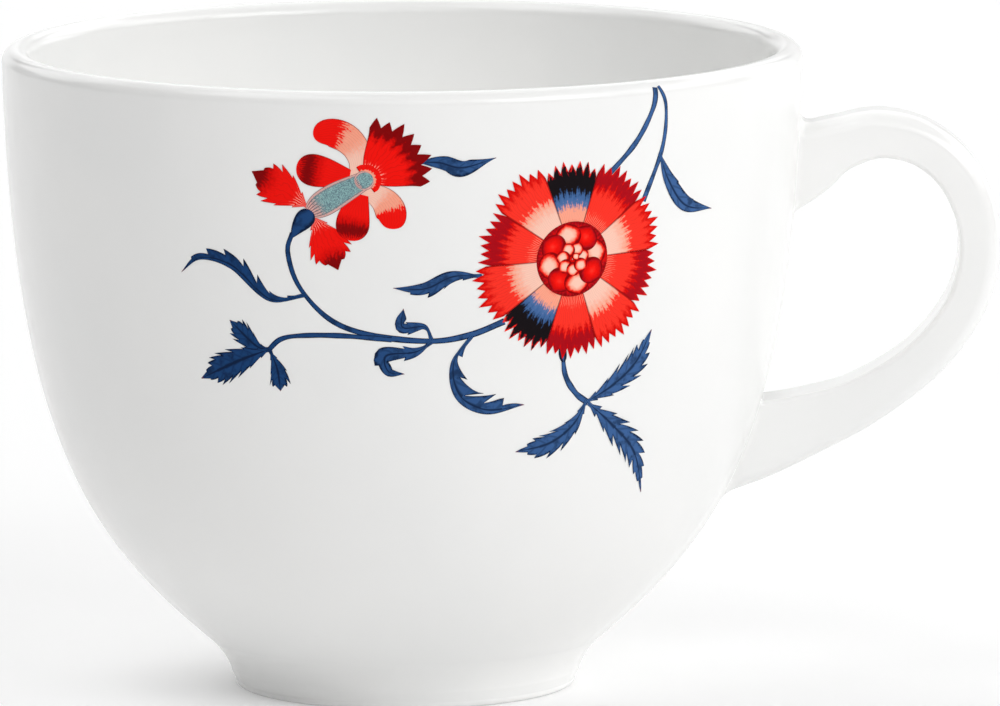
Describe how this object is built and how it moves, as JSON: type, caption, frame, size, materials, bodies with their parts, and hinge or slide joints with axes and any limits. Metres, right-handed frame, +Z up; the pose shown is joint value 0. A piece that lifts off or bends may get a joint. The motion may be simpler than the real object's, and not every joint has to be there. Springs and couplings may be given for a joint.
{
  "type": "teacup",
  "caption": "Glazed porcelain teacup with a deep rounded bowl, a low foot ring, a loop handle and a printed flower spray on one side.",
  "frame": {"origin": "middle of the footprint (bowl and handle together) on the surface the cup stands on; the bowl's own axis is parallel to Z at x = -0.0111 m, y = 0", "axes": "+Z up, +X from the bowl towards the handle, and the printed side faces -Y"},
  "size_m": [0.1123, 0.09, 0.0726],
  "materials": {
    "white_glaze": "gloss",
    "enamel_red": "gloss",
    "enamel_pink": "gloss",
    "enamel_blue": "gloss",
    "enamel_navy": "gloss"
  },
  "bodies": {
    "root": {"cup_body": "white_glaze", "foot_ring": "white_glaze", "handle": "white_glaze"}
  },
  "joints": []
}
